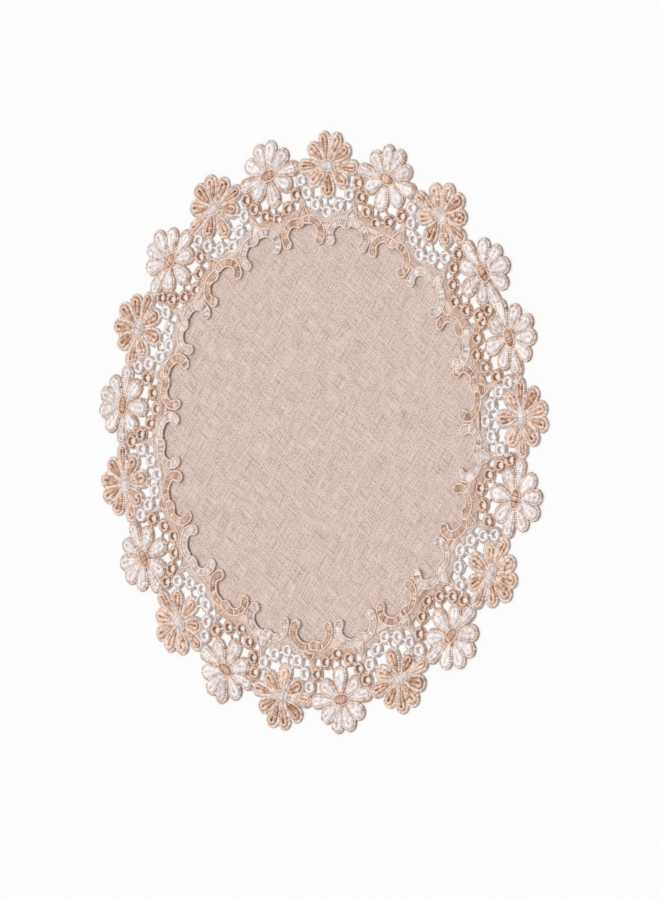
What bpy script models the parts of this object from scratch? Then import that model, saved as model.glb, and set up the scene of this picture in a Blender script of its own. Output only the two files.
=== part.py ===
"""Round lace doily, laid flat: a linen centre and a wide border of raised lace.

The border is one strip of lace closed to a ring. Its repeat is a daisy of nine petals, a
chain of six small rings under it, and two scrolls that lie on the edge of the linen. The
strip's ends overlap a little at one place, so two daisies stand closer there.

Metres, +Z up. The origin is the middle of the linen's underside, on the surface that the
doily lies on. Angles run clockwise from +Y, seen from above.
"""

from math import atan2, cos, hypot, pi, radians, sin

import bmesh
import bpy
from mathutils import Vector
from mathutils.geometry import delaunay_2d_cdt

MM = 0.001

# The ring of daisies, in degrees. At the seam the next daisy comes after this share of the
# pitch, because the strip's ends overlap there.
DAISIES = 21
DAISY_CIRCLE = 175.5 * MM
FIRST_DAISY = 3.2
SEAM_AFTER = 3
SEAM_PITCH = 0.903
PITCH = 360 / (DAISIES - 1 + SEAM_PITCH)

# Thicknesses of the linen and of the lace, where it is flat and where it is raised.
LINEN_THICK = 1.0 * MM
GAP = 0.3 * MM
LACE_GROUND = 1.2 * MM
PETAL_CREST = 2.6 * MM
RING_RIM = 2.6 * MM
RING_SIDE = 1.9 * MM
SCROLL_EDGE = 1.2 * MM
SCROLL_CREST = 2.0 * MM
BUD_CREST = 1.8 * MM

# The linen's scalloped edge, under the scrolls. The lace lies on the linen as far as the
# first distance beyond its edge, and is down on the surface from the second.
LINEN_AT_DAISY = 132.6 * MM
LINEN_AT_JOINT = 138.6 * MM
LINEN_EDGE_STEPS = 6
STEP_STARTS = 6.5 * MM
STEP_ENDS = 11.5 * MM

# Petals: direction from outward in degrees, reach from the daisy's middle, width, in mm.
PETALS = (
    (-16.0, 22.8, 11.4),
    (19.0, 23.2, 11.4),
    (-54.5, 22.6, 11.0),
    (57.5, 22.6, 11.0),
    (-94.0, 26.2, 8.6),
    (93.0, 26.4, 8.6),
    (-126.0, 20.8, 10.4),
    (126.5, 21.6, 10.4),
    (179.5, 21.8, 11.6),
)
PETAL_ROOT = 2.0 * MM
# A petal's outline: share of its length, share of half its width.
PETAL_OUTLINE = ((0.0, 0.3), (0.36, 0.72), (0.68, 1.0), (0.95, 0.6))
# The ends of a petal's ridge, as shares of its length.
PETAL_RIDGE = (0.34, 0.8)
HEART_HALF_WIDTH = 6.5 * MM
HEART_HALF_DEPTH = 3.6 * MM
HEART_RIDGE = 3.6 * MM

# Rings: across and outward from the daisy's middle, in mm. Each is a hexagon with a hole.
RINGS = (
    (-23.1, -10.4),
    (-17.6, -18.3),
    (-9.5, -25.8),
    (0.7, -30.4),
    (10.9, -26.0),
    (20.0, -18.9),
)
RING_HALF_DEPTH = 4.6 * MM
RING_HALF_LENGTH = 6.1 * MM
RING_CORNER = 2.7 * MM
RING_HOLE = 2.6 * MM
HOLE_SIDES = 5

# Bars of the lace ground, from and to, across and outward from the daisy's middle in mm:
# inward petal to ring, side petal to the next daisy's.
BARS = (
    ((-0.2, -20.0), (0.5, -27.5)),
    ((23.5, -1.2), (29.5, -4.5)),
)
BAR_WIDTH = 1.6 * MM
# The web that ties the lowest ring to both scrolls under it.
WEB_OUTLINE = ((-4.6, -37.6), (0.0, -45.0), (4.6, -37.6), (3.2, -31.0), (-1.8, -31.0))

# Half of a scroll: degrees from the joint of two scrolls, distance from the doily's middle.
SCROLL_ARM = (
    (-0.6, 141.8),
    (4.4, 141.0),
    (7.0, 135.6),
    (7.35, 129.0),
    (5.4, 124.6),
)
ARM_WIDTH = 6.4 * MM
# The bud on the joint of two scrolls: across and outward from the joint, in mm.
JOINT_RADIUS = 141.0 * MM
BUD_OUTLINE = ((-4.8, 0.0), (6.2, 0.0), (2.6, 15.6), (0.6, 16.0))

# Gaps smaller than this stay closed, and corners of an outline that change it less go.
SMALLEST_GAP = 8.0 * MM**2
SMALLEST_CORNER = 3.4 * MM**2
FEWEST_CORNERS = 4
# Points of the plan nearer than this are one point.
MERGE = 1e-6

LINEN_COLOUR = (0.72, 0.61, 0.53)
LINEN_ROUGHNESS = 0.9
LACE_COLOUR = (0.80, 0.62, 0.47)
LACE_ROUGHNESS = 0.7


def direction(degrees):
    """The outward unit vector at an angle clockwise from +Y."""
    return Vector((sin(radians(degrees)), cos(radians(degrees))))


def put(angle, radius, across, outward):
    """A point given across and outward from the place at an angle and a radius."""
    out = direction(angle)
    clockwise = Vector((out.y, -out.x))
    return out * (radius + outward) + clockwise * across


def around_daisy(angle, rows):
    """Points from rows of mm across and outward from a daisy's middle."""
    return [put(angle, DAISY_CIRCLE, across * MM, outward * MM) for across, outward in rows]


def daisy_angle(index):
    """The angle of a daisy; the overlap at the seam brings the later ones back."""
    past_seam = index > SEAM_AFTER
    return FIRST_DAISY + PITCH * (index - (1 - SEAM_PITCH) * past_seam)


class Plan:
    """Outlines that overlap in plan, each point with its own thickness of lace."""

    def __init__(self):
        self.points = []
        self.thick = []
        self.faces = []
        self.holes = set()
        self.crests = []
        self.crest_thick = []
        self.crest_edges = []

    def fill(self, points, thick):
        """An outline of lace, turned anticlockwise if it isn't."""
        area = sum(a.cross(b) for a, b in zip(points, points[1:] + points[:1]))
        first = len(self.points)
        self.points += points if area > 0 else points[::-1]
        self.thick += [thick] * len(points)
        self.faces.append(list(range(first, len(self.points))))

    def cut(self, points, thick):
        """A hole through whatever lace it lies in, with the thickness of its rim."""
        self.holes.add(len(self.faces))
        self.fill(points, thick)

    def raise_line(self, points, thick):
        """A ridge along a line inside the lace."""
        first = len(self.crests)
        self.crests += points
        self.crest_thick += [thick] * len(points)
        line = range(first, len(self.crests))
        self.crest_edges += list(zip(line, line[1:]))


def petal(plan, angle, turn, reach, width):
    """A drop with its narrow end at the daisy's middle and a ridge along it."""
    way = Vector((sin(radians(turn)), cos(radians(turn))))
    side = Vector((way.y, -way.x))

    def at(share, half):
        along = PETAL_ROOT + share * (reach * MM - PETAL_ROOT)
        spot = way * along + side * (half * width * MM / 2)
        return put(angle, DAISY_CIRCLE, spot.x, spot.y)

    right = [at(share, half) for share, half in PETAL_OUTLINE]
    left = [at(share, -half) for share, half in PETAL_OUTLINE]
    plan.fill(right + left[::-1], LACE_GROUND)
    plan.raise_line([at(share, 0.0) for share in PETAL_RIDGE], PETAL_CREST)


def heart(plan, angle):
    """The raised middle of a daisy, longer across than outward."""
    corners = (
        (-HEART_HALF_WIDTH, 0.0),
        (0.0, -HEART_HALF_DEPTH),
        (HEART_HALF_WIDTH, 0.0),
        (0.0, HEART_HALF_DEPTH),
    )
    plan.fill([put(angle, DAISY_CIRCLE, *corner) for corner in corners], PETAL_CREST)
    ends = [put(angle, DAISY_CIRCLE, side * HEART_RIDGE, 0.0) for side in (-1, 1)]
    plan.raise_line(ends, PETAL_CREST)


def ring(plan, centre, along):
    """A small ring, a little longer along the chain, where it joins its neighbours."""
    across = Vector((-along.y, along.x))
    outline = [
        along * RING_HALF_LENGTH,
        along * RING_CORNER + across * RING_HALF_DEPTH,
        -along * RING_CORNER + across * RING_HALF_DEPTH,
        -along * RING_HALF_LENGTH,
        -along * RING_CORNER - across * RING_HALF_DEPTH,
        along * RING_CORNER - across * RING_HALF_DEPTH,
    ]
    plan.fill([centre + corner for corner in outline], RING_SIDE)
    turns = [2 * pi * step / HOLE_SIDES for step in range(HOLE_SIDES)]
    rim = [along * cos(turn) + across * sin(turn) for turn in turns]
    plan.cut([centre + corner * RING_HOLE for corner in rim], RING_RIM)


def bar(plan, start, end):
    """A short straight bar of lace between two points."""
    side = (end - start).normalized()
    side = Vector((-side.y, side.x)) * (BAR_WIDTH / 2)
    plan.fill([start - side, end - side, end + side, start + side], LACE_GROUND)


def arm(plan, joint_angle, hand):
    """Half of a scroll: hand is 1 clockwise of the joint and -1 on its other side."""
    middle = [
        direction(joint_angle + hand * degrees) * (radius * MM) for degrees, radius in SCROLL_ARM
    ]
    outer = []
    inner = []
    for index, point in enumerate(middle):
        before = middle[max(index - 1, 0)]
        after = middle[min(index + 1, len(middle) - 1)]
        along = (after - before).normalized()
        side = Vector((-along.y, along.x)) * (ARM_WIDTH / 2 * hand)
        outer.append(point + side)
        inner.append(point - side)
    tip = middle[-1] + (middle[-1] - middle[-2]).normalized() * (ARM_WIDTH / 2)
    plan.fill(inner + [tip] + outer[::-1], SCROLL_EDGE)
    plan.raise_line(middle[1::2], SCROLL_CREST)


def bud(plan, joint_angle):
    """The pointed bud between two scrolls, which reaches up to the rings."""
    outline = [
        put(joint_angle, JOINT_RADIUS, across * MM, outward * MM)
        for across, outward in BUD_OUTLINE
    ]
    plan.fill(outline, BUD_CREST)


def lace_plan():
    """All the border's outlines, one repeat after another."""
    plan = Plan()
    centres = [around_daisy(daisy_angle(index), RINGS) for index in range(DAISIES)]
    for index in range(DAISIES):
        angle = daisy_angle(index)
        for petal_row in PETALS:
            petal(plan, angle, *petal_row)
        heart(plan, angle)
        chain = [centres[index - 1][-1]] + centres[index] + [centres[(index + 1) % DAISIES][0]]
        for before, centre, after in zip(chain, chain[1:], chain[2:]):
            ring(plan, centre, (after - before).normalized())
        for ends in BARS:
            bar(plan, *around_daisy(angle, ends))
        plan.fill(around_daisy(angle, WEB_OUTLINE), LACE_GROUND)
        arm(plan, angle - PITCH / 2, 1)
        arm(plan, angle + PITCH / 2, -1)
        bud(plan, angle + PITCH / 2)
    return plan


def linen_edge(degrees):
    """The linen's radius at an angle: widest at the joints of the scrolls."""
    turns = [(degrees - daisy_angle(index) + 180) % 360 - 180 for index in range(DAISIES)]
    nearest = min(abs(turn) for turn in turns)
    share = min(nearest / (PITCH / 2), 1.0)
    return LINEN_AT_DAISY + (LINEN_AT_JOINT - LINEN_AT_DAISY) * sin(share * pi / 2)


def underside(point):
    """The height of the lace's underside: on the surface, or up on the linen."""
    degrees = atan2(point.x, point.y) * 180 / pi
    beyond = hypot(point.x, point.y) - linen_edge(degrees)
    share = (STEP_ENDS - beyond) / (STEP_ENDS - STEP_STARTS)
    return (LINEN_THICK + GAP) * min(max(share, 0.0), 1.0)


def union_loops(plan):
    """The edges of the plan's union as loops of (point, thickness), lace on their left."""
    points, _, faces, from_points, _, from_faces = delaunay_2d_cdt(
        plan.points, [], plan.faces, 0, MERGE
    )
    lace = [
        face
        for face, sources in zip(faces, from_faces)
        if sources and not plan.holes.intersection(sources)
    ]
    directed = {(a, b) for face in lace for a, b in zip(face, face[1:] + face[:1])}
    following = {a: b for a, b in directed if (b, a) not in directed}
    thick = [max([plan.thick[old] for old in olds], default=LACE_GROUND) for olds in from_points]
    loops = []
    while following:
        index = next(iter(following))
        loop = []
        while index in following:
            loop.append((points[index], thick[index]))
            index = following.pop(index)
        loops.append(loop)
    return loops


def corner_area(loop, index):
    """The area of the triangle at one corner of a loop."""
    before, here, after = (loop[(index + step) % len(loop)][0] for step in (-1, 0, 1))
    return abs((here - before).cross(after - here)) / 2


def loop_area(loop):
    """Positive for a loop that runs anticlockwise."""
    return sum(a[0].cross(b[0]) for a, b in zip(loop, loop[1:] + loop[:1])) / 2


def simpler(loop):
    """A loop without the corners that hardly change it."""
    loop = list(loop)
    while len(loop) > FEWEST_CORNERS:
        least = min(range(len(loop)), key=lambda index: corner_area(loop, index))
        if corner_area(loop, least) > SMALLEST_CORNER:
            break
        del loop[least]
    return loop


def triangles_inside(loops, crests, crest_thick, edges):
    """Points, their thicknesses and the triangles between the loops, over the crests."""
    points = [point for loop in loops for point, _ in loop]
    thick = [amount for loop in loops for _, amount in loop] + crest_thick
    faces = []
    for loop in loops:
        first = sum(len(face) for face in faces)
        faces.append(list(range(first, first + len(loop))))
    first = len(points)
    points += crests
    edges = [(a + first, b + first) for a, b in edges]
    outer = max(range(len(loops)), key=lambda index: abs(loop_area(loops[index])))
    faces = [face if index == outer else face[::-1] for index, face in enumerate(faces)]
    made, _, triangles, origins, _, sources = delaunay_2d_cdt(points, edges, faces, 0, MERGE)
    made_thick = [thick[old[0]] if old else PETAL_CREST for old in origins]
    lace = [face for face, source in zip(triangles, sources) if source == [outer]]
    return made, made_thick, lace


def solid(bm, rim_loops, top_faces, bottom_faces):
    """Adds a closed body: its top and bottom faces, and a wall along every loop."""
    for faces in (top_faces, bottom_faces):
        for face in faces:
            bm.faces.new(face)
    for upper, lower in rim_loops:
        for step in range(len(upper)):
            following = (step + 1) % len(upper)
            bm.faces.new((upper[following], upper[step], lower[step], lower[following]))


def lace_border(material):
    """The lace strip as one solid: the union of its outlines, with the crests raised."""
    plan = lace_plan()
    loops = [simpler(loop) for loop in union_loops(plan) if abs(loop_area(loop)) > SMALLEST_GAP]
    above, thick, top = triangles_inside(loops, plan.crests, plan.crest_thick, plan.crest_edges)
    below, _, bottom = triangles_inside(loops, [], [], [])

    bm = bmesh.new()
    upper = [
        bm.verts.new((point.x, point.y, underside(point) + amount))
        for point, amount in zip(above, thick)
    ]
    lower = [bm.verts.new((point.x, point.y, underside(point))) for point in below]
    rims = []
    first = 0
    for loop in loops:
        rims.append((upper[first : first + len(loop)], lower[first : first + len(loop)]))
        first += len(loop)
    solid(
        bm,
        rims,
        [[upper[index] for index in face] for face in top],
        [[lower[index] for index in face[::-1]] for face in bottom],
    )
    return new_object("lace_border", bm, material)


def linen_centre(material):
    """The linen disc with its scalloped edge, which the scrolls cover."""
    bm = bmesh.new()
    turns = []
    for index in range(DAISIES):
        start = daisy_angle(index)
        span = (daisy_angle(index + 1) if index + 1 < DAISIES else FIRST_DAISY + 360) - start
        turns += [start + span * step / LINEN_EDGE_STEPS for step in range(LINEN_EDGE_STEPS)]
    rings = []
    for height in (0.0, LINEN_THICK):
        rings.append([])
        for degrees in reversed(turns):
            spot = direction(degrees) * linen_edge(degrees)
            rings[-1].append(bm.verts.new((spot.x, spot.y, height)))
    lower, upper = rings
    solid(bm, [(upper, lower)], [upper], [lower[::-1]])
    return new_object("linen_centre", bm, material)


def cloth(name, colour, roughness):
    """A plain matt material."""
    material = bpy.data.materials.new(name)
    material.use_nodes = True
    shader = material.node_tree.nodes["Principled BSDF"]
    shader.inputs["Base Color"].default_value = (*colour, 1.0)
    shader.inputs["Roughness"].default_value = roughness
    shader.inputs["Metallic"].default_value = 0.0
    return material


def new_object(name, bm, material):
    """Makes the object from the mesh so far, in triangles."""
    bmesh.ops.triangulate(bm, faces=bm.faces[:])
    mesh = bpy.data.meshes.new(name)
    bm.to_mesh(mesh)
    bm.free()
    mesh.materials.append(material)
    made = bpy.data.objects.new(name, mesh)
    bpy.context.scene.collection.objects.link(made)
    return made


def main():
    for old in list(bpy.data.objects):
        bpy.data.objects.remove(old)
    linen_centre(cloth("linen", LINEN_COLOUR, LINEN_ROUGHNESS))
    lace_border(cloth("lace_thread", LACE_COLOUR, LACE_ROUGHNESS))


main()
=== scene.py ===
"""The looks of the round lace doily: linen, satin stitched daisies, wrapped rings and scrolls.

Metres, +Z up, in the frame of the solids. Angles run clockwise from +Y, seen from above. The
sizes that the solids have too are repeated here by name.
"""

from math import cos, pi, radians, sin

import bpy
import numpy as np
from mathutils import Matrix, Vector
from mathutils.geometry import delaunay_2d_cdt


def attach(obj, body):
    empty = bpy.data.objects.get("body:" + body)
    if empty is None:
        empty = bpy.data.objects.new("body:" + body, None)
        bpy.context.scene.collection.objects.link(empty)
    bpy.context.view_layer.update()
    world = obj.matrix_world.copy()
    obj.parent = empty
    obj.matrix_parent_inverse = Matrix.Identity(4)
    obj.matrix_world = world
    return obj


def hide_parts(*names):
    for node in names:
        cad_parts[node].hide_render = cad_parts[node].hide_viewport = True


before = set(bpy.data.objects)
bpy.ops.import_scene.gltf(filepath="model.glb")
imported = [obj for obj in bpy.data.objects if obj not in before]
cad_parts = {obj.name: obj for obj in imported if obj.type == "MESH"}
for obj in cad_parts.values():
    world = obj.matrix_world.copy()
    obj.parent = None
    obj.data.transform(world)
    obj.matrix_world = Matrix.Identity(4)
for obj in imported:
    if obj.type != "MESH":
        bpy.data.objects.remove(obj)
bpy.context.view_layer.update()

MM = 0.001
CHANCE = np.random.default_rng(21)

# The ring of daisies, in degrees, with the seam where the strip's ends overlap.
DAISIES = 21
DAISY_CIRCLE = 175.5 * MM
FIRST_DAISY = 3.2
SEAM_AFTER = 3
SEAM_PITCH = 0.903
PITCH = 360 / (DAISIES - 1 + SEAM_PITCH)

# The linen, its scalloped edge, and the step that the lace takes up onto it.
LINEN_THICK = 1.0 * MM
GAP = 0.3 * MM
LINEN_AT_DAISY = 132.6 * MM
LINEN_AT_JOINT = 138.6 * MM
STEP_STARTS = 6.5 * MM
STEP_ENDS = 11.5 * MM

# Petals: direction from outward in degrees, reach from the daisy's middle, width, in mm.
PETALS = (
    (-16.0, 22.8, 11.8),
    (19.0, 23.2, 11.8),
    (-54.5, 22.6, 11.6),
    (57.5, 22.6, 11.6),
    (-94.0, 26.2, 9.8),
    (93.0, 26.4, 9.8),
    (-126.0, 20.8, 11.4),
    (126.5, 21.6, 11.4),
    (179.5, 21.8, 11.8),
)
# At the seam two side petals pass side by side: by daisy and direction, how far each is turned
# in degrees, and how much higher it lies, in mm.
SEAM_PETALS = {
    (SEAM_AFTER, 93.0): (4.5, 0.0),
    (SEAM_AFTER + 1, -94.0): (4.0, 0.4),
}
# Where a petal starts, how fast it widens from there, and the least radius of a line round it.
PETAL_ROOT = 3.4 * MM
PETAL_FULLNESS = 1.5
LEAST_RADIUS = 0.12 * MM
# By chance petals differ in direction, in degrees, and in reach, width and height, in mm.
TURN_CHANCE = 1.2
REACH_CHANCE = 0.35
WIDTH_CHANCE = 0.3
LIFT_CHANCE = 0.08

# A petal's cord: its thickness, which near the root falls to a share of the petal's half width and
# a rest, its height, and how far its edges draw in between two stitches. The furrows there get
# painted shade by a tone at its crest, and by more at its edges.
PETAL_CORD = 2.1 * MM
ROOT_CORD_SHARE = 0.62
ROOT_CORD = 0.5 * MM
CORD_TOP = 1.55 * MM
CORD_NOTCH = 0.16 * MM
CORD_FURROW_SHADE = 0.9
CORD_EDGE_SHADE = 1.3
# Across a petal's cord from its outer to its inner edge: side, height of its foot in mm, and tone
# by the petals' colour.
CORD_SIDES = (1.0, 0.75, 0.1, -0.45, -0.75, -1.0)
CORD_FEET = (0.15, 0.0, 0.0, 0.0, 0.4, 1.0)
# The dark tones at a cord's feet are partly darker thread at its edges and partly painted contact
# shade.
CORD_TONES = {
    "white": (-2.1, -0.5, 0.5, -0.1, 0.3, -1.5),
    "tan": (-1.8, -0.4, 0.2, -0.4, 1.2, 0.3),
}

# Across a fill, from its axis to its edge: share of the way, height over the ground in mm on
# the sides and round the eyelet, tone on the sides and round the eyelet.
# These tones are painted light: shade at the middle, at the edge by the cord and most in the eyelet,
# and a highlight on the crest between.
FILL_PROFILE = (
    (0.0, 1.7, 0.5, -0.6, -1.9),
    (0.16, 1.8, 1.5, -0.3, -0.3),
    (0.34, 1.95, 1.9, -0.1, 0.6),
    (0.44, 2.1, 2.2, 0.1, 1.0),
    (0.54, 2.0, 2.1, -0.1, 0.6),
    (0.8, 1.6, 1.7, -0.2, -0.1),
    (1.0, 0.9, 0.9, -1.3, -1.0),
)
# The row of it that catches more light by chance, up to how much, and a whole fill's chance tone.
LOOP_WAY = 3
LOOP_CHANCE = 2.2
FILL_CHANCE = 0.3
# The share of the relief and of its painted light and shade by colour, and the height in mm
# that a lower relief comes closer to.
FILL_RELIEF = {"white": 0.55, "tan": 1.0}
FILL_TOP = 1.9
# A fill narrower than the full radius is lower, down to the foot's height in mm. It reaches under
# its cord, and sinks in between two stitches.
FULL_RADIUS = 2.4 * MM
LEAST_FULLNESS = 0.35
FILL_FOOT = 0.9
FILL_UNDER_CORD = 0.25 * MM
FILL_FURROW = 0.14 * MM
# The eyelet lies on past the middle of the petal's round tip, and this power keeps it to the tip.
EYELET_FORWARD = 0.8 * MM
EYELET_POWER = 12

# A daisy's oval middle, and its cord: half its width and depth, heights, and the pitch of its
# stitches. Lower powers make its outline and its back blunter at the ends. Its top gets a painted
# highlight, and the middle and its cord have tones by the middle's colour.
HEART_HALF_WIDTH = 6.6 * MM
HEART_HALF_DEPTH = 3.6 * MM
HEART_TOP = 2.3 * MM
HEART_FOOT = 1.1 * MM
HEART_FURROW = 0.12 * MM
HEART_CORD_TOP = 1.9 * MM
HEART_STITCH = 0.9 * MM
HEART_COLUMNS = 9
HEART_CORNERS = 48
HEART_OUTLINE_POWER = 0.85
HEART_BACK_POWER = 0.6
HEART_HIGHLIGHT = 2.4
HEART_TONES = {"white": (-2.4, 0.0), "tan": (-2.3, 0.7)}

# Rings: across and outward from the daisy's middle, in mm.
RINGS = (
    (-23.1, -10.4),
    (-17.6, -18.3),
    (-9.5, -25.8),
    (0.7, -30.4),
    (10.9, -26.0),
    (20.0, -18.9),
)
RING_RADIUS = 4.3 * MM
# A ring's wall from the outer foot over the rim to the inner foot: radius and height in mm,
# and tone.
# The tones paint shade at the outer foot and a highlight on the rim, and paint the inner wall lighter
# to offset its shade.
RING_PROFILE = (
    (4.3, 0.2, -1.3),
    (4.2, 0.95, -0.6),
    (3.85, 1.6, 0.6),
    (3.2, 1.95, 1.5),
    (2.6, 1.6, 0.3),
    (2.15, 0.95, -0.3),
    (1.8, 0.1, -0.2),
)
# The tone by colour, the radius of the crest, and the turns of thread.
RING_TONES = {"white": -0.8, "tan": -1.15}
RING_CREST = 3.2 * MM
RING_WRAPS = 20
# A ring is longer along its chain, and by chance rings differ in size, shape and height.
RING_LONG_WAY = 1.04
RING_SIZE_CHANCE = 0.02
RING_SHAPE_CHANCE = 0.015
RING_HEIGHT_CHANCE = 0.03
# The link between two rings starts this far from their middles.
LINK_FROM = RING_RADIUS - 0.6 * MM
LINK_TOP = 1.2 * MM

# Bars in the rings' colour, from and to, across and outward from the daisy's middle in mm.
BARS = (
    ((-0.9, -20.5), (0.2, -27.5)),
    ((-3.6, -18.5), (-7.4, -22.6)),
    ((3.4, -18.5), (8.4, -22.6)),
    ((23.5, -1.2), (29.5, -4.5)),
    ((-23.4, -1.6), (-23.4, -6.6)),
    ((13.5, -14.0), (17.2, -16.2)),
    ((-13.4, -13.2), (-15.2, -15.2)),
)
BAR_WIDTH = 1.7 * MM
BAR_TOP = 1.1 * MM
LINK_WIDTH = 1.2 * BAR_WIDTH
# The web between the rings and the linen, the stitches on it, and how much painted shade their furrows
# get.
WEB_OUTLINE = (
    (-14.6, -34.4),
    (-6.0, -38.0),
    (0.0, -44.5),
    (6.0, -38.0),
    (15.4, -34.0),
    (14.6, -29.0),
    (6.5, -30.0),
    (-4.5, -30.0),
    (-13.6, -29.0),
)
WEB_STITCHES = ((-1.2, -43.4), (1.2, -43.4), (8.4, -34.2), (-7.6, -34.2))
WEB_TOP = 0.85 * MM
WEB_FURROW_SHADE = 1.3

# Both halves of a scroll, across and outward from the joint on the daisy circle, and how its
# half width goes from the joint to the tip, in mm.
LEFT_ARM = (
    (2.6, -35.6),
    (-2.0, -36.4),
    (-7.6, -36.0),
    (-12.0, -38.6),
    (-14.9, -43.3),
    (-14.2, -48.2),
    (-10.8, -51.2),
)
LEFT_HALVES = (3.1, 3.7, 3.0, 2.8, 3.0, 3.5, 3.7)
RIGHT_ARM = (
    (1.6, -35.2),
    (8.6, -35.2),
    (14.2, -38.8),
    (16.8, -43.8),
    (15.6, -48.4),
    (11.6, -51.4),
)
RIGHT_HALVES = (3.0, 3.2, 3.3, 3.4, 3.7, 3.8)
# Across a scroll from its left to its right edge: its round back, which is a little flattened, has
# this height, and gets a painted highlight over the edges. Its furrows get painted shade by a tone
# in the middle, and by more at the edges.
ARM_COLUMNS = (1.0, 0.7, 0.25, -0.25, -0.7, -1.0)
ARM_FLATNESS = 0.97
ARM_RISE = 0.8 * MM
ARM_TONE = -0.45
ARM_HIGHLIGHT = 0.3
ARM_FURROW_SHADE = 0.5
ARM_EDGE_SHADE = 2.9
# The thin cord round scrolls and daisies' middles, and how far the satin reaches under it.
THIN_CORD = 1.3 * MM
THIN_CORD_TOP = 1.3 * MM
ARM_UNDER_CORD = 0.8 * THIN_CORD
LEAST_HALF = 0.1 * MM
# The bud over a joint, its stitches, how much painted shade their furrows get, and the bar from
# its point to the rings.
BUD_EDGE = ((-2.8, -32.6), (-1.0, -29.0), (2.2, -25.8), (5.0, -28.6), (7.2, -32.2))
BUD_GROUND = (
    (-9.5, -34.0),
    (-7.4, -28.8),
    (-2.0, -27.4),
    (-0.8, -20.0),
    (2.0, -20.0),
    (4.2, -26.6),
    (9.6, -28.4),
    (12.5, -34.0),
)
BUD_STITCHES = ((-2.0, -33.6), (6.6, -33.6), (2.8, -26.6), (1.6, -26.6))
BUD_BAR = ((2.2, -26.2), (0.4, -21.8), (-0.2, -17.6))
BUD_WIDTH = 1.2 * MM
BUD_BAR_TOP = 1.1 * MM
BUD_TOP = 1.1 * MM
BUD_FURROW_SHADE = 2.4

# A satin stitch's pitch and its samples, the height of flat satin's edge, and the share of its
# height that it loses between two stitches.
STITCH = 1.5 * MM
SAMPLES = 3
SATIN_FOOT = 0.4 * MM
SATIN_DIP = 0.4
# The stitches on webs and buds: the tone at their edges, and the painted highlight on their backs.
LEAF_COLUMNS = 6
LEAF_TONE = -0.7
LEAF_HIGHLIGHT = 0.9
# Across a cord: side, share of its height, and tone, with painted shade at its feet and a painted
# highlight on its crown.
CORD_PROFILE = ((1.0, 0.0, -0.6), (0.55, 1.0, 0.8), (-0.55, 1.0, 0.8), (-1.0, 0.0, -0.6))
CORD_FOOT = 0.2 * MM
# Points between two corners of a smooth curve.
CURVE_STEPS = 24

# The flat lace: its thickness, how far it reaches from the middles of daisies and rings and past
# the inner petals, and how far it stays inside the outlines of other work.
GROUND = 0.6 * MM
HEART_GROUND = 5.0 * MM
RING_GROUND = 5.5 * MM
PETAL_GROUND = 0.7 * MM
GROUND_INSET = 0.25 * MM
LEAST_GROUND_HALF = 0.05 * MM
# The radius of the hole in a ring, and the share of the way from ring to ring that a strip
# leaves out at either end.
RING_HOLE = 2.3 * MM
STRIP_MARGIN = 0.35
# Points round a circle, and how many points of the work a coarse outline moves on at a time.
CIRCLE_POINTS = 16
COARSE = 4
# Points closer than this become one.
MERGE = 1e-6

# The linen's mesh, from its hub out, and the waves on its top.
LINEN_SPOKES = 12 * DAISIES
LINEN_RINGS = 46
LINEN_HUB = 0.02
LINEN_WAVE = 0.12 * MM
LINEN_WAVE_X = 9 * MM
LINEN_WAVE_Y = 11 * MM

# Threads: dark, low, middle and light colour, in screen levels.
THREADS = {
    "tan_thread": ((108, 68, 44), (172, 129, 102), (209, 172, 149), (246, 222, 206)),
    "white_thread": ((164, 148, 145), (207, 193, 190), (230, 218, 216), (253, 247, 245)),
    "pale_cord": ((144, 110, 94), (195, 168, 154), (226, 204, 193), (251, 237, 229)),
    "beige_cord": ((136, 100, 80), (187, 156, 138), (219, 195, 181), (246, 232, 223)),
    "pink_thread": ((140, 106, 88), (180, 150, 134), (204, 178, 164), (230, 208, 196)),
    "scroll_cord": ((142, 106, 86), (197, 167, 150), (230, 205, 191), (251, 235, 225)),
    "scroll_tan": ((130, 92, 70), (180, 143, 120), (209, 176, 156), (240, 216, 200)),
    "scroll_white": ((152, 130, 124), (197, 179, 173), (221, 205, 200), (246, 236, 232)),
}
# Where the four colours lie between the lowest and the highest tone, and how strongly fibres and
# patches change it.
THREAD_STOPS = (0.08, 0.38, 0.62, 0.92)
THREAD_TONES = (-2.5, 1.5)
THREAD_UNEVEN = 2.6
# Each raised piece's thread and material slot.
LOOKS = {
    "petal_cords_white": ("beige_cord", "tan_thread"),
    "petal_cords_tan": ("pale_cord", "white_thread"),
    "petal_fills_white": ("white_thread", "white_thread"),
    "petal_fills_tan": ("tan_thread", "tan_thread"),
    "hearts_white": ("white_thread", "white_thread"),
    "hearts_tan": ("tan_thread", "tan_thread"),
    "rings_white": ("white_thread", "white_thread"),
    "rings_tan": ("tan_thread", "tan_thread"),
    "bars_white": ("white_thread", "white_thread"),
    "bars_tan": ("tan_thread", "tan_thread"),
    "scroll_fills_white": ("scroll_white", "white_thread"),
    "scroll_fills_tan": ("scroll_tan", "tan_thread"),
    "scroll_cords": ("scroll_cord", "tan_thread"),
    "heart_cords": ("scroll_cord", "tan_thread"),
    "webs": ("pink_thread", "tan_thread"),
}

# The weave's direction, and its slubs in mm.
WEAVE_TURN = radians(53)
SLUB_LONG = 15
SLUB_WIDE = 1.1

# The floor, in m, the light from all round, and the wide window far off.
FLOOR_WIDTH = 6.0
FLOOR_HEIGHT = -0.1 * MM
FLOOR_COLOUR = (0.94, 0.94, 0.94)
SKY_STRENGTH = 0.7
WINDOW_STRENGTH = 1.42
WINDOW_ANGLE = radians(50)
WINDOW_SPOT = (-1.3, 0.3, 1.6)

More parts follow.
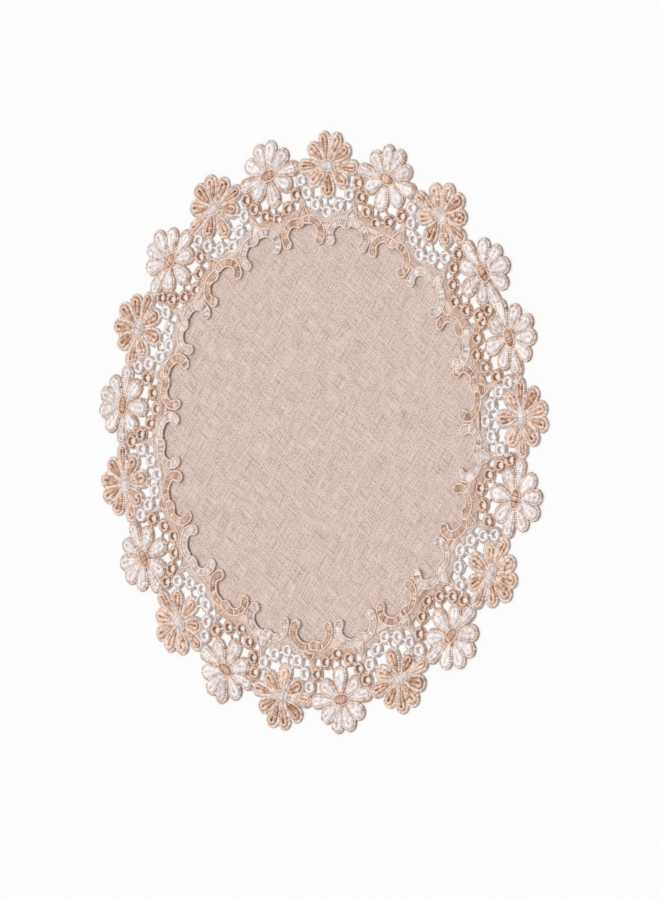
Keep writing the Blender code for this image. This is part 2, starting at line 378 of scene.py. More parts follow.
# The camera's direction from the doily, the small turn that rolls it, as an axis as long as its
# angle, and its place along its own axes, in m. Its lens and sensor are in mm.
CAMERA_RISE = 0.7455
CAMERA_OUT = 0.6665
CAMERA_TILT = Vector((0.0173, -0.0018, -0.0058))
CAMERA_DISTANCE = 6.55
CAMERA_RIGHT = 6.9 * MM
CAMERA_DOWN = 11.0 * MM
LENS = 400
SENSOR = 36


def place(angle, spots):
    """Plan points from spots across and outward of the daisy circle's place at an angle."""
    spots = np.asarray(spots, float)
    out = np.array([sin(radians(angle)), cos(radians(angle))])
    clockwise = np.array([out[1], -out[0]])
    return out * (DAISY_CIRCLE + spots[..., 1:2]) + clockwise * spots[..., 0:1]


def place_mm(angle, spots):
    """The same, from spots in mm."""
    return place(angle, np.array(spots) * MM)


def daisy_angle(index):
    """A daisy's angle: those past the seam are drawn back by the overlap."""
    past_seam = index > SEAM_AFTER
    return FIRST_DAISY + PITCH * (index - (1 - SEAM_PITCH) * past_seam)


def is_white(index):
    """Whether a daisy's petals are white: every second one's, and both beside the seam."""
    return (index + (index > SEAM_AFTER)) % 2 == 1


def petals_of(index):
    """Direction, reach, width and extra height of each petal of a daisy."""
    for turn, reach, width in PETALS:
        swing, rise = SEAM_PETALS.get((index, turn), (0.0, 0.0))
        yield turn + swing, reach, width, rise * MM


def ring_centres(index):
    """The middles of a daisy's rings in plan, counted on past the last daisy."""
    return place_mm(daisy_angle(index % DAISIES), RINGS)


def turns_from_daisies(degrees):
    """How many degrees angles lie from each daisy, in a row for each daisy."""
    rows = [np.abs((degrees - daisy_angle(index) + 180) % 360 - 180) for index in range(DAISIES)]
    return np.stack(rows)


def linen_edge(degrees):
    """The linen's radius at angles: least at a daisy, most at a joint."""
    share = np.minimum(turns_from_daisies(degrees).min(axis=0) / (PITCH / 2), 1.0)
    return LINEN_AT_DAISY + (LINEN_AT_JOINT - LINEN_AT_DAISY) * np.sin(share * pi / 2)


def underside(spots):
    """The height of the lace's underside: on the surface, or up on the linen."""
    degrees = np.degrees(np.arctan2(spots[..., 0], spots[..., 1]))
    beyond = np.hypot(spots[..., 0], spots[..., 1]) - linen_edge(degrees)
    share = (STEP_ENDS - beyond) / (STEP_ENDS - STEP_STARTS)
    return (LINEN_THICK + GAP) * np.clip(share, 0.0, 1.0)


def grid_quads(rows, columns, closed):
    """Quads from each row of points to the next, and from the last to the first if closed."""
    index = np.arange(rows * columns).reshape(rows, columns)
    following = np.roll(index, -1, axis=0)
    last = rows if closed else rows - 1
    corners = (index[:last, :-1], following[:last, :-1], following[:last, 1:], index[:last, 1:])
    return np.stack(corners, axis=-1).reshape(-1, 4)


class Work:
    """Stitched work that becomes one joined mesh. Each point has a tone, dark to light, which on the
    raised work holds painted highlights and shade as well as chance differences.
    """

    def __init__(self, name):
        self.name = name
        self.points = []
        self.tones = []
        self.faces = []
        self.count = 0

    def add(self, points, tones, faces):
        self.points.append(points.reshape(-1, 3))
        self.tones.append(np.broadcast_to(tones, points.shape[:-1]).reshape(-1))
        self.faces.append(faces + self.count)
        self.count += len(self.points[-1])

    def grid(self, spots, heights, tones, closed=False):
        """Rows of plan points with heights, joined by quads that face up."""
        quads = grid_quads(*spots.shape[:2], closed)
        flat = spots.reshape(-1, 2)
        first = flat[quads[:, 2]] - flat[quads[:, 0]]
        second = flat[quads[:, 3]] - flat[quads[:, 1]]
        if (first[:, 0] * second[:, 1] - first[:, 1] * second[:, 0]).sum() < 0:
            quads = quads[:, ::-1]
        heights = np.broadcast_to(heights, spots.shape[:2])
        self.add(np.concatenate([spots, heights[..., None]], axis=-1), tones, quads)

    def make(self, material, slot, smooth=True):
        """One mesh object of all the work, riding on the doily's one body."""
        points = np.concatenate(self.points).astype(np.float32)
        faces = np.concatenate(self.faces)
        mesh = bpy.data.meshes.new(self.name)
        mesh.vertices.add(len(points))
        mesh.vertices.foreach_set("co", points.ravel())
        mesh.loops.add(faces.size)
        mesh.loops.foreach_set("vertex_index", faces.astype(np.int32).ravel())
        mesh.polygons.add(len(faces))
        starts = np.arange(0, faces.size, faces.shape[1], dtype=np.int32)
        mesh.polygons.foreach_set("loop_start", starts)
        tone = mesh.attributes.new("tone", "FLOAT", "POINT")
        tone.data.foreach_set("value", np.concatenate(self.tones).astype(np.float32))
        mesh.update(calc_edges=True)
        mesh.validate()
        if smooth:
            mesh.shade_smooth()
        mesh.materials.append(material)
        made = bpy.data.objects.new(self.name, mesh)
        bpy.context.scene.collection.objects.link(made)
        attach(made, "root")
        return made


def drop(reach, width, pitch, inset=0.0):
    """Round a drop along +Y, from its root round its tip and back: places on its axis, normals,
    radii, and the share of the way from root to tip."""
    tip = reach - width / 2
    length = tip - PETAL_ROOT
    widening = width / 2 * (1 - PETAL_ROOT / tip)
    arc = pi * width / 2
    total = 2 * length + arc
    along = np.linspace(0.0, total, SAMPLES * round(total / pitch) + 1)
    share = np.clip(np.minimum(along, total - along) / length, 0.0, 1.0)
    left = 1 - share
    radius = width / 2 - widening * left**PETAL_FULLNESS - inset
    lean = widening * PETAL_FULLNESS * left ** (PETAL_FULLNESS - 1) / length
    side = np.sign(along - total / 2)
    straight = np.stack([side * np.sqrt(1 - lean**2), -lean], axis=-1)
    turn = np.clip((along - length) / arc, 0.0, 1.0) * pi - pi / 2
    round_tip = np.stack([np.sin(turn), np.cos(turn)], axis=-1)
    normal = np.where((share < 1)[:, None], straight, round_tip)
    return PETAL_ROOT + length * share, normal, np.maximum(radius, LEAST_RADIUS), share


def drop_outline(axis, normal, radius):
    """The outline that places on a drop's axis, normals and radii give."""
    outline = normal * radius[:, None]
    outline[:, 1] += axis
    return outline


def turned(spots, degrees):
    """Spots on a petal along +Y, turned clockwise to the petal's own direction."""
    turn = radians(degrees)
    across = spots[..., 0] * cos(turn) + spots[..., 1] * sin(turn)
    outward = spots[..., 1] * cos(turn) - spots[..., 0] * sin(turn)
    return np.stack([across, outward], axis=-1)


def ridges(count):
    """1 on the crown of each stitch and 0 between two stitches."""
    return np.minimum(np.arange(count) % SAMPLES, 1).astype(float)[:, None]


def furrowed(crown, dip):
    """1 on the crowns, and less by a share between two stitches."""
    return 1 - dip * (1 - crown)


def arch(across):
    """The height of a round back at places across it, from -1 to 1."""
    return np.sqrt(np.clip(1 - across**2, 0.0, 1.0))


def spread(count, size):
    """Chance differences in tone from stitch to stitch."""
    stitches = CHANCE.normal(0, size, count // SAMPLES + 2)
    return stitches[(np.arange(count) + SAMPLES - 1) // SAMPLES][:, None]


def painted_stitch_shading(crown, depth, level, size):
    """Painted highlights on the crowns of satin and painted shade in its furrows, 0 at a level between
    them, and chance differences.
    """
    return depth * (crown - level) + spread(len(crown), size)


def petal_cord(work, angle, turn, reach, width, lift, edge_tones):
    """The satin cord round a petal, its stitches across it, thinner at the petal's root."""
    axis, normal, outer, _ = drop(reach, width, STITCH)
    thick = np.minimum(PETAL_CORD, ROOT_CORD_SHARE * outer + ROOT_CORD)[:, None]
    across = np.array(CORD_SIDES)
    crown = ridges(len(axis))
    notch = CORD_NOTCH * (1 - crown)
    radius = outer[:, None] - thick / 2 + (thick / 2 - notch) * across
    local = normal[:, None, :] * radius[..., None]
    local[..., 1] += axis[:, None]
    spots = place(angle, turned(local, turn))
    feet = np.array(CORD_FEET) * MM
    height = feet + (CORD_TOP + lift - feet) * arch(across) * furrowed(crown, dip=0.2)
    # Painted shade in the furrows between stitches, most at the cord's edges, and painted highlights on
    # the crowns.
    depth = CORD_FURROW_SHADE + CORD_EDGE_SHADE * np.abs(across)
    tones = np.array(edge_tones) + painted_stitch_shading(crown, depth, level=0.6, size=0.55)
    work.grid(spots, underside(spots) + height, tones)


def petal_fill(work, angle, turn, reach, width, lift, relief):
    """The padded satin inside a petal, with a small eyelet near its tip."""
    axis, normal, radius, share = drop(reach, width, STITCH, inset=PETAL_CORD - FILL_UNDER_CORD)
    way, side_height, tip_height, side_tone, tip_tone = np.array(FILL_PROFILE).T
    centre = np.stack([np.zeros(len(axis)), axis + EYELET_FORWARD * share**3], axis=-1)
    from_centre = drop_outline(axis, normal, radius) - centre
    local = centre[:, None, :] + from_centre[:, None, :] * way[:, None]
    spots = place(angle, turned(local, turn))
    tip = share[:, None] ** EYELET_POWER
    crown = ridges(len(axis))
    height = FILL_TOP + relief * (side_height * (1 - tip) + tip_height * tip - FILL_TOP)
    thin = np.clip(radius / FULL_RADIUS, LEAST_FULLNESS, 1.0)[:, None]
    height = (FILL_FOOT + (height - FILL_FOOT) * thin) * MM + lift
    height = height - FILL_FURROW * (1 - crown) * way * (way < 1)
    # Painted shade in the groove and eyelet, a painted highlight on the crest and the row that catches
    # light, and on the stitches' crowns.
    tones = relief * (side_tone * (1 - tip) + tip_tone * tip) + CHANCE.normal(0, FILL_CHANCE)
    tones[:, LOOP_WAY] += CHANCE.uniform(0.0, LOOP_CHANCE) * np.sqrt(share)
    tones = tones + painted_stitch_shading(crown, depth=0.6, level=0.7, size=0.4)
    work.grid(spots, underside(spots) + height, tones)


def heart(fill, outline, angle, tone, outline_tone):
    """A daisy's raised oval middle, stitched across its short way, in a thin cord."""
    count = SAMPLES * round(2 * HEART_HALF_WIDTH / HEART_STITCH) + 1
    way = np.linspace(-1.0, 1.0, count)[:, None]
    across = np.linspace(-1.0, 1.0, HEART_COLUMNS)
    half = arch(way) ** HEART_OUTLINE_POWER
    x, y = np.broadcast_arrays(way * HEART_HALF_WIDTH, half * HEART_HALF_DEPTH * across)
    crown = ridges(count)
    bow = arch(across) * half**HEART_BACK_POWER
    height = HEART_FOOT + (HEART_TOP - HEART_FOOT) * bow - HEART_FURROW * (1 - crown)
    # A painted highlight on the raised top, and painted highlights and shade on the stitches.
    tones = tone + HEART_HIGHLIGHT * bow + painted_stitch_shading(crown, depth=0.9, level=1.0, size=0.45)
    fill.grid(place(angle, np.stack([x, y], axis=-1)), height, tones)
    turns = np.linspace(0, 2 * pi, HEART_CORNERS)
    x = np.sin(turns) * HEART_HALF_WIDTH
    y = np.cos(turns) * HEART_HALF_DEPTH
    around = place(angle, np.stack([x, y], axis=-1))
    cord(outline, around, THIN_CORD, HEART_CORD_TOP, outline_tone)


def ring(work, centre, along, tone):
    """A small ring wrapped with thread, a little longer along its chain than across it."""
    turns = np.linspace(0, 2 * pi, SAMPLES * RING_WRAPS, endpoint=False)
    radius, height, tones = np.array(RING_PROFILE).T
    crown = ridges(len(turns))
    radius = RING_CREST + (radius * MM - RING_CREST) * furrowed(crown, dip=0.07)
    radius = radius * (1 + CHANCE.normal(0, RING_SIZE_CHANCE))
    long_way = RING_LONG_WAY + CHANCE.normal(0, RING_SHAPE_CHANCE)
    normal = np.stack([np.cos(turns) * long_way, np.sin(turns) / long_way], axis=-1)
    side = np.array([-along[1], along[0]])
    normal = normal[:, :1] * along + normal[:, 1:] * side
    spots = centre + normal[:, None, :] * radius[..., None]
    height = height * MM * furrowed(crown, dip=0.05) * (1 + CHANCE.normal(0, RING_HEIGHT_CHANCE))
    # Painted shade at the outer foot and in the furrows, and a painted highlight on the rim and on the
    # crowns.
    tones = tone + tones + painted_stitch_shading(crown, depth=1.3, level=0.3, size=0.4)
    work.grid(spots, underside(centre) + height, tones, closed=True)


def smooth_line(corners):
    """Evenly spaced points on a smooth curve through the corners."""
    corners = np.asarray(corners, float)
    first = 2 * corners[0] - corners[1]
    last = 2 * corners[-1] - corners[-2]
    padded = np.concatenate([[first], corners, [last]])
    share = np.linspace(0, 1, CURVE_STEPS, endpoint=False)[:, None]
    pieces = []
    for before, start, end, after in zip(padded, padded[1:], padded[2:], padded[3:]):
        slope = (end - before) * share
        bend = (2 * before - 5 * start + 4 * end - after) * share**2
        twist = (3 * start - before - 3 * end + after) * share**3
        pieces.append(0.5 * (2 * start + slope + bend + twist))
    return even(np.concatenate(pieces + [corners[-1:]]))


def even(line):
    """A line resampled to even steps, SAMPLES to a stitch and at least two stitches."""
    gaps = np.hypot(*np.diff(line, axis=0).T)
    along = np.concatenate([[0], np.cumsum(gaps)])
    count = SAMPLES * max(round(along[-1] / STITCH), 2) + 1
    places = np.linspace(0, along[-1], count)
    return np.stack([np.interp(places, along, line[:, axis]) for axis in (0, 1)], axis=-1)


def sides_of(line):
    """The unit vector to the left of a line at each of its points."""
    along = np.gradient(line, axis=0)
    along /= np.maximum(np.hypot(*along.T), 1e-12)[:, None]
    return np.stack([-along[:, 1], along[:, 0]], axis=-1)


def between_sides(line, half):
    """The outline of a band along a line, from its half width at each point."""
    sides = sides_of(line) * half
    return np.concatenate([line + sides, (line - sides)[::-1]])


def cord(work, line, width, top, tone=0.0):
    """A cord of satin stitches along a line in plan."""
    line = even(line)
    across, rise, tones = np.array(CORD_PROFILE).T
    crown = ridges(len(line))
    reach = across * width / 2 * furrowed(crown, dip=0.08)
    spots = line[:, None, :] + sides_of(line)[:, None, :] * reach[..., None]
    height = CORD_FOOT + (top - CORD_FOOT) * rise * furrowed(crown, dip=0.14)
    # Painted shade at the feet and in the furrows, and a painted highlight on the crown.
    tones = tone + tones + painted_stitch_shading(crown, depth=1.5, level=1.0, size=0.35)
    work.grid(spots, underside(spots) + height, tones)


def arm_shape(joint_angle, corners, halves):
    """A scroll half's middle line, and its half width at each point with both ends round."""
    line = smooth_line(place_mm(joint_angle, corners))
    share = np.linspace(0, 1, len(line))
    half = np.interp(share, np.linspace(0, 1, len(halves)), halves) * MM
    along = share * np.hypot(*np.diff(line, axis=0).T).sum()
    to_end = np.minimum(along, along[-1] - along) / half
    return line, half * np.sqrt(1 - np.clip(1 - to_end, 0.0, 1.0) ** 2)


def arm(fill, outline, joint_angle, corners, halves):
    """Half a scroll: satin across it, and a thin cord round its edge."""
    line, half = arm_shape(joint_angle, corners, halves)
    across = np.array(ARM_COLUMNS)
    crown = ridges(len(line))
    inner = np.maximum(half - ARM_UNDER_CORD, LEAST_HALF)[:, None]
    spots = line[:, None, :] + sides_of(line)[:, None, :] * (inner * across)[..., None]
    bow = arch(across * ARM_FLATNESS)
    height = SATIN_FOOT + ARM_RISE * bow * furrowed(crown, SATIN_DIP)
    # A painted highlight on the round back, and painted shade in the furrows, most at the edges.
    depth = ARM_FURROW_SHADE + ARM_EDGE_SHADE * across**2
    tones = ARM_TONE + ARM_HIGHLIGHT * bow + painted_stitch_shading(crown, depth, level=0.8, size=0.6)
    fill.grid(spots, underside(spots) + height, tones)
    around = between_sides(line, np.maximum(half - THIN_CORD / 2, 0.0)[:, None])
    cord(outline, around, THIN_CORD, THIN_CORD_TOP, tone=0.2)


def leaf(work, corners, top, depth):
    """A four-cornered leaf of satin stitches that run across it."""
    left_foot, right_foot, right_top, left_top = corners
    length = np.hypot(*((left_top + right_top) / 2 - (left_foot + right_foot) / 2))
    count = SAMPLES * round(length / STITCH) + 1
    up = np.linspace(0, 1, count)[:, None, None]
    over = np.linspace(0, 1, LEAF_COLUMNS)[:, None]
    left = left_foot + (left_top - left_foot) * up
    right = right_foot + (right_top - right_foot) * up
    spots = left + (right - left) * over
    crown = ridges(count)
    bow = arch(2 * over[:, 0] - 1)
    height = SATIN_FOOT + (top - SATIN_FOOT) * bow * furrowed(crown, SATIN_DIP)
    # A painted highlight on the back, and painted shade in the furrows.
    tones = LEAF_TONE + LEAF_HIGHLIGHT * bow + painted_stitch_shading(crown, depth, level=0.7, size=0.7)
    work.grid(spots, underside(spots) + height, tones)


def daisy(work, index):
    """A daisy: its petals, each a little different by chance, and its middle."""
    angle = daisy_angle(index)
    kind = "white" if is_white(index) else "tan"
    for turn, reach, width, rise in petals_of(index):
        turn = turn + CHANCE.normal(0, TURN_CHANCE)
        reach = (reach + CHANCE.normal(0, REACH_CHANCE)) * MM
        width = (width + CHANCE.normal(0, WIDTH_CHANCE)) * MM
        lift = CHANCE.normal(0, LIFT_CHANCE) * MM + rise
        shape = (angle, turn, reach, width, lift)
        petal_cord(work(f"petal_cords_{kind}"), *shape, CORD_TONES[kind])
        petal_fill(work(f"petal_fills_{kind}"), *shape, FILL_RELIEF[kind])
    if is_white(index):
        heart(work("hearts_tan"), work("hearts_tan"), angle, *HEART_TONES["tan"])
    else:
        heart(work("hearts_white"), work("heart_cords"), angle, *HEART_TONES["white"])


def ring_chain(work, index):
    """A daisy's rings, the links from each to the next, and the bars."""
    kind = "tan" if is_white(index) else "white"
    chain = [ring_centres(index - 1)[-1], *ring_centres(index), ring_centres(index + 1)[0]]
    for before, centre, after in zip(chain, chain[1:], chain[2:]):
        ring(work(f"rings_{kind}"), centre, heading(before, after), RING_TONES[kind])
    for start, end in zip(chain[1:], chain[2:]):
        way = heading(start, end) * LINK_FROM
        cord(work(f"bars_{kind}"), np.array([start + way, end - way]), LINK_WIDTH, LINK_TOP)
    for ends in BARS:
        cord(work(f"bars_{kind}"), place_mm(daisy_angle(index), ends), BAR_WIDTH, BAR_TOP)


def heading(start, end):
    """The unit vector from one point to another."""
    return (end - start) / np.hypot(*(end - start))


def scroll_and_bud(work, index):
    """The scroll on the joint clockwise of a daisy, and the bud over it."""
    joint = daisy_angle(index) + PITCH / 2
    left, right = scroll_kinds(index)
    arm(work(f"scroll_fills_{left}"), work("scroll_cords"), joint, LEFT_ARM, LEFT_HALVES)
    arm(work(f"scroll_fills_{right}"), work("scroll_cords"), joint, RIGHT_ARM, RIGHT_HALVES)
    leaf(work(f"scroll_fills_{right}"), place_mm(joint, BUD_STITCHES), BUD_TOP, BUD_FURROW_SHADE)
    edge = smooth_line(place_mm(joint, BUD_EDGE))
    cord(work("scroll_cords"), edge, BUD_WIDTH, THIN_CORD_TOP)
    bar = smooth_line(place_mm(joint, BUD_BAR))
    cord(work("scroll_cords"), bar, BUD_WIDTH, BUD_BAR_TOP)


def scroll_kinds(index):
    """The colours of the left and right half of the scroll clockwise of a daisy."""
    if index == SEAM_AFTER:
        return "tan", "white"
    kind = "tan" if is_white(index) else "white"
    return kind, kind


def strip(start, end):
    """The outline of a straight bar."""
    side = sides_of(np.array([start, end]))[0] * (BAR_WIDTH / 2)
    return np.array([start + side, start - side, end - side, end + side])


def repeat_outlines(index):
    """(outline, is hole) of everything that the flat lace joins in one repeat."""
    angle = daisy_angle(index)
    joint = angle + PITCH / 2
    turns = np.linspace(0, 2 * pi, CIRCLE_POINTS, endpoint=False)
    circle = np.stack([np.cos(turns), np.sin(turns)], axis=-1)
    for turn, reach, width, _ in petals_of(index):
        inset = -PETAL_GROUND if abs(turn) > 90 else GROUND_INSET
        axis, normal, radius, _ = drop(reach * MM, width * MM, COARSE * STITCH, inset)
        yield place(angle, turned(drop_outline(axis, normal, radius), turn)), False
    yield place(angle, circle * HEART_GROUND), False
    for centre in ring_centres(index):
        yield centre + circle * RING_GROUND, False
        yield centre + circle * RING_HOLE, True
    for ends in BARS:
        yield strip(*place_mm(angle, ends)), False
    chain = [*ring_centres(index), *ring_centres(index + 1)[:2]]
    for start, end in zip(chain, chain[1:]):
        margin = (end - start) * STRIP_MARGIN
        yield strip(start + margin, end - margin), False
    yield place_mm(angle, WEB_OUTLINE), False
    for corners, halves in ((LEFT_ARM, LEFT_HALVES), (RIGHT_ARM, RIGHT_HALVES)):
        line, half = arm_shape(joint, corners, halves)
        half = np.maximum(half[::COARSE] - GROUND_INSET, LEAST_GROUND_HALF)[:, None]
        yield between_sides(line[::COARSE], half), False
    yield place_mm(joint, BUD_EDGE), False
    yield place_mm(joint, BUD_GROUND), False
    for ends in zip(BUD_BAR, BUD_BAR[1:]):
        yield strip(*place_mm(joint, ends)), False


def flat_lace():
    """The plan of the flat lace: its points, its triangles, and its rim's edges."""
    points = []
    outlines = []
    holes = set()
    for index in range(DAISIES):
        for outline, is_hole in repeat_outlines(index):
            following = np.roll(outline, -1, axis=0)
            area = (outline[:, 0] * following[:, 1] - following[:, 0] * outline[:, 1]).sum()
            if is_hole:
                holes.add(len(outlines))
            outlines.append(list(range(len(points), len(points) + len(outline))))
            points += [Vector(spot) for spot in (outline if area > 0 else outline[::-1])]
    made, _, faces, _, _, sources = delaunay_2d_cdt(points, [], outlines, 0, MERGE)
    lace = []
    for face, source in zip(faces, sources):
        if source and not holes.intersection(source):
            lace.append(face)
    directed = {(a, b) for face in lace for a, b in zip(face, face[1:] + face[:1])}
    rim = [(a, b) for a, b in directed if (b, a) not in directed]
    fans = [(face[0], *pair) for face in lace for pair in zip(face[1:], face[2:])]
    return np.array([tuple(point) for point in made]), np.array(fans), np.array(rim)


def lace_ground(material):
    """The thin flat back that joins all the raised work, cut through at the gaps."""
    spots, upper, rim = flat_lace()
    low = underside(spots)
    first, second = rim.T
    under = len(spots)
    walls = np.concatenate(
        [
            np.stack([second, first, first + under], axis=-1),
            np.stack([second, first + under, second + under], axis=-1),
        ]
    )
    faces = np.concatenate([upper, upper[:, ::-1] + under, walls])
    points = np.concatenate([np.column_stack([spots, low + GROUND]), np.column_stack([spots, low])])
    degrees = np.degrees(np.arctan2(points[:, 0], points[:, 1]))
    nearest = turns_from_daisies(degrees).argmin(axis=0)
    rings_white = np.array([not is_white(index) for index in range(DAISIES)], float)
    work = Work("lace_ground")
    work.add(points, rings_white[nearest], faces)
    return work.make(material, "white_thread", smooth=False)


def linen(material):
    """The linen with its scalloped edge: a thin closed disc, its top a little uneven."""
    degrees = np.arange(LINEN_SPOKES) * 360 / LINEN_SPOKES
    out = np.stack([np.sin(np.radians(degrees)), np.cos(np.radians(degrees))], axis=-1)
    # Out over the top along each spoke, and last from the edge down to the surface.
    shares = np.append(np.linspace(LINEN_HUB, 1.0, LINEN_RINGS), 1.0)
    spots = out[:, None, :] * linen_edge(degrees)[:, None, None] * shares[:, None]
    x, y = spots[..., 0], spots[..., 1]
    middle = LINEN_THICK - LINEN_WAVE
    height = middle + LINEN_WAVE * np.sin(x / LINEN_WAVE_X) * np.cos(y / LINEN_WAVE_Y)
    height[:, -1] = 0.0
    points = np.concatenate([spots, height[..., None]], axis=-1).reshape(-1, 3)
    quads = grid_quads(*height.shape, closed=True)
    sides = np.concatenate([quads[:, [0, 1, 2]], quads[:, [0, 2, 3]]])
    hub = np.full(LINEN_SPOKES, len(points))
    inner = np.arange(LINEN_SPOKES) * len(shares)
    outer = inner + len(shares) - 1
    fan_top = np.stack([hub, np.roll(inner, -1), inner], axis=-1)
    fan_low = np.stack([hub + 1, outer, np.roll(outer, -1)], axis=-1)
    work = Work("linen_cloth")
    points = np.concatenate([points, [[0.0, 0.0, middle], [0.0, 0.0, 0.0]]])
    work.add(points, 0.0, np.concatenate([sides, fan_top, fan_low]))
    return work.make(material, "linen")


def srgb(*levels):
    """A colour from its 0 to 255 screen levels, as light."""
    shares = [level / 255 for level in levels]
    linear = [part / 12.92 if part < 0.04045 else ((part + 0.055) / 1.055) ** 2.4 for part in shares]
    return linear + [1.0]


class Look:
    """A node material. Its methods add nodes and give their outputs, but the last two feed the
    shader."""

    def __init__(self, name, roughness, sheen):
        self.material = bpy.data.materials.new(name)
        self.material.use_nodes = True
        self.nodes = self.material.node_tree.nodes
        self.links = self.material.node_tree.links
        self.shader = self.nodes["Principled BSDF"]
        self.shader.inputs["Roughness"].default_value = roughness
        self.shader.inputs["Sheen Weight"].default_value = sheen
        self.shader.inputs["Sheen Roughness"].default_value = 0.4
        self.shader.inputs["Specular IOR Level"].default_value = 0.3

    def tone(self):
        """The tone of each point of the mesh."""
        node = self.nodes.new("ShaderNodeAttribute")
        node.attribute_name = "tone"
        return node.outputs["Fac"]

    def where(self):
        """The place on the object, in metres."""
        return self.nodes.new("ShaderNodeTexCoord").outputs["Object"]

    def noise(self, where, scale, detail):
        node = self.nodes.new("ShaderNodeTexNoise")
        node.inputs["Scale"].default_value = scale
        node.inputs["Detail"].default_value = detail
        self.links.new(where, node.inputs["Vector"])
        return node.outputs["Fac"]

    def total(self, first, second):
        node = self.nodes.new("ShaderNodeMath")
        node.operation = "ADD"
        self.links.new(first, node.inputs[0])
        self.links.new(second, node.inputs[1])
        return node.outputs[0]

    def scaled(self, value, factor, shift):
        node = self.nodes.new("ShaderNodeMath")
        node.operation = "MULTIPLY_ADD"
        node.inputs[1].default_value = factor
        node.inputs[2].default_value = shift
        self.links.new(value, node.inputs[0])
        return node.outputs[0]

    def band(self, value, low, high):
        """0 to 1 as a value goes from low to high."""
        node = self.nodes.new("ShaderNodeMapRange")
        node.inputs["From Min"].default_value = low
        node.inputs["From Max"].default_value = high
        self.links.new(value, node.inputs["Value"])
        return node.outputs["Result"]

    def ramp(self, value, stops):
        """Colours in screen levels at their places from 0 to 1."""
        node = self.nodes.new("ShaderNodeValToRGB")
        elements = node.color_ramp.elements
        while len(elements) < len(stops):
            elements.new(0.5)
        for element, (stop, levels) in zip(elements, stops):
            element.position = stop
            element.color = srgb(*levels)
        self.links.new(value, node.inputs["Fac"])
        return node.outputs["Color"]

    def mixed(self, kind, factor, under, levels):
        """A colour in screen levels laid over another, or multiplied with it."""
        node = self.nodes.new("ShaderNodeMix")
        node.data_type = "RGBA"
        node.blend_type = kind
        self.links.new(factor, node.inputs["Factor"])
        self.links.new(under, node.inputs["A"])
        node.inputs["B"].default_value = srgb(*levels)
        return node.outputs["Result"]

    def colour(self, value):
        self.links.new(value, self.shader.inputs["Base Color"])

    def bump(self, height, distance, strength):
        node = self.nodes.new("ShaderNodeBump")
        node.inputs["Distance"].default_value = distance
        node.inputs["Strength"].default_value = strength
        self.links.new(height, node.inputs["Height"])
        self.links.new(node.outputs["Normal"], self.shader.inputs["Normal"])


def thread(name, colours):
    """Thread whose colour follows the tone of each stitch, with its painted highlights and shade, and
    with fibres and small patches.
    """
    look = Look(name, roughness=0.55, sheen=0.1)
    where = look.where()
    fibre = look.noise(where, scale=1500, detail=2)
    patch = look.noise(where, scale=300, detail=3)
    # Fibre and patch together are about 1, so the tones keep their mean.
    uneven = look.scaled(look.total(fibre, patch), THREAD_UNEVEN, -THREAD_UNEVEN)
    share = look.band(look.total(look.tone(), uneven), *THREAD_TONES)
    look.colour(look.ramp(share, list(zip(THREAD_STOPS, colours))))
    look.bump(fibre, distance=0.08 * MM, strength=0.6)
    return look.material


def ground_material():
    """Flat stitching, pinkish by the tan rings and grey by the white ones, with a fine grain."""
    look = Look("lace_ground", roughness=0.8, sheen=0.2)
    grain = look.noise(look.where(), scale=550, detail=4)
    even_colour = look.ramp(look.tone(), ((0.35, (220, 196, 183)), (0.65, (223, 210, 204))))
    look.colour(look.mixed("MULTIPLY", look.band(grain, 0.35, 0.65), even_colour, (214, 200, 190)))
    look.bump(grain, distance=0.1 * MM, strength=0.6)
    return look.material


def linen_material():
    """Plain weave with slubs along both threads."""
    look = Look("linen", roughness=0.9, sheen=0.15)

    def noise(x, y, detail, seed):
        """Noise of a size in mm along both threads of the weave."""
        mapping = look.nodes.new("ShaderNodeMapping")
        mapping.vector_type = "TEXTURE"
        mapping.inputs["Rotation"].default_value = (0, 0, WEAVE_TURN)
        mapping.inputs["Scale"].default_value = (x * MM, y * MM, 1.0)
        mapping.inputs["Location"].default_value = (seed, seed, 0)
        look.links.new(look.where(), mapping.inputs["Vector"])
        return look.noise(mapping.outputs["Vector"], 1, detail)

    warp = noise(SLUB_LONG, SLUB_WIDE, detail=1, seed=0.3)
    weft = noise(SLUB_WIDE, SLUB_LONG, detail=1, seed=0.7)
    cloud = look.band(noise(7, 7, detail=3, seed=0.1), 0.35, 0.65)
    fine = look.band(noise(1.0, 1.0, detail=1, seed=0.5), 0.55, 0.28)
    fleck = look.band(noise(0.9, 2.2, detail=0, seed=0.9), 0.22, 0.15)
    colour = look.ramp(cloud, ((0.0, (216, 199, 189)), (1.0, (218, 194, 188))))
    colour = look.mixed("MULTIPLY", fine, colour, (192, 179, 172))
    for slubs in (warp, weft):
        colour = look.mixed("MIX", look.band(slubs, 0.5, 0.95), colour, (232, 216, 208))
    for slubs, dark in ((warp, (180, 148, 134)), (weft, (180, 150, 131))):
        colour = look.mixed("MIX", look.band(slubs, 0.41, 0.17), colour, dark)
    look.colour(look.mixed("MIX", fleck, colour, (136, 102, 86)))
    look.bump(look.total(warp, weft), distance=0.15 * MM, strength=0.7)
    return look.material


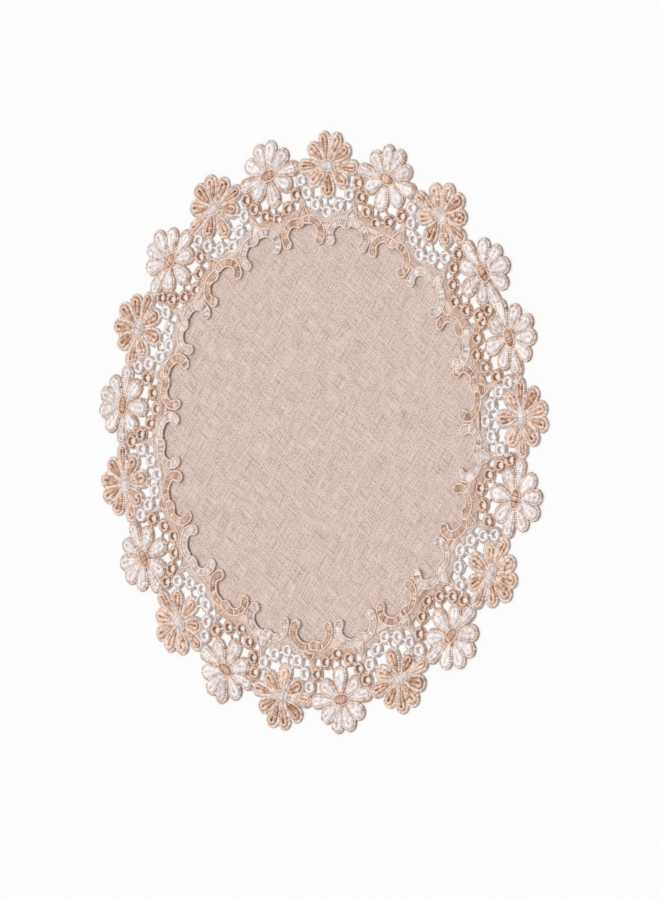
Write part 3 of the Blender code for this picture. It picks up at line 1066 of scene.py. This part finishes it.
def floor():
    """A plain white surface, just under the doily."""
    mesh = bpy.data.meshes.new("floor")
    half = FLOOR_WIDTH / 2
    corners = [(-half, -half, 0), (half, -half, 0), (half, half, 0), (-half, half, 0)]
    mesh.from_pydata(corners, [], [(0, 1, 2, 3)])
    made = bpy.data.objects.new("floor", mesh)
    made.location.z = FLOOR_HEIGHT
    bpy.context.scene.collection.objects.link(made)
    look = Look("floor", roughness=0.9, sheen=0.0)
    look.shader.inputs["Base Color"].default_value = (*FLOOR_COLOUR, 1.0)
    mesh.materials.append(look.material)


def light():
    """Soft light from all round, and from far off as from a wide window on the -X side."""
    world = bpy.data.worlds.new("studio")
    world.use_nodes = True
    background = world.node_tree.nodes["Background"]
    background.inputs["Color"].default_value = (1, 1, 1, 1)
    background.inputs["Strength"].default_value = SKY_STRENGTH
    bpy.context.scene.world = world
    data = bpy.data.lights.new("window", "SUN")
    data.energy = WINDOW_STRENGTH
    data.angle = WINDOW_ANGLE
    window = bpy.data.objects.new("window", data)
    window.location = WINDOW_SPOT
    window.rotation_euler = (-Vector(WINDOW_SPOT)).to_track_quat("-Z", "Y").to_euler()
    bpy.context.scene.collection.objects.link(window)


def camera():
    """A far camera on the +X side, rolled a little as the photograph is."""
    data = bpy.data.cameras.new("camera")
    data.lens = LENS
    data.sensor_width = SENSOR
    made = bpy.data.objects.new("camera", data)
    tilt = Matrix.Rotation(CAMERA_TILT.length, 3, CAMERA_TILT)
    from_side = Matrix(
        (
            (CAMERA_RISE, 0, CAMERA_OUT),
            (0, 1, 0),
            (-CAMERA_OUT, 0, CAMERA_RISE),
        )
    )
    facing = from_side @ tilt
    right, up, back = facing.col
    spot = back * CAMERA_DISTANCE + right * CAMERA_RIGHT - up * CAMERA_DOWN
    made.matrix_world = Matrix.Translation(spot) @ facing.to_4x4()
    bpy.context.scene.collection.objects.link(made)
    bpy.context.scene.camera = made
    bpy.context.scene.view_settings.view_transform = "Standard"


def main():
    works = {}

    def work(name):
        return works.setdefault(name, Work(name))

    for index in range(DAISIES):
        daisy(work, index)
        ring_chain(work, index)
        scroll_and_bud(work, index)
        leaf(work("webs"), place_mm(daisy_angle(index), WEB_STITCHES), WEB_TOP, WEB_FURROW_SHADE)

    threads = {name: thread(name, colours) for name, colours in THREADS.items()}
    raised = [works[name].make(threads[look], slot) for name, (look, slot) in LOOKS.items()]

    ground = lace_ground(ground_material())
    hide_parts("lace_border")
    cloth = linen(linen_material())
    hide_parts("linen_centre")
    floor()
    light()
    camera()


main()
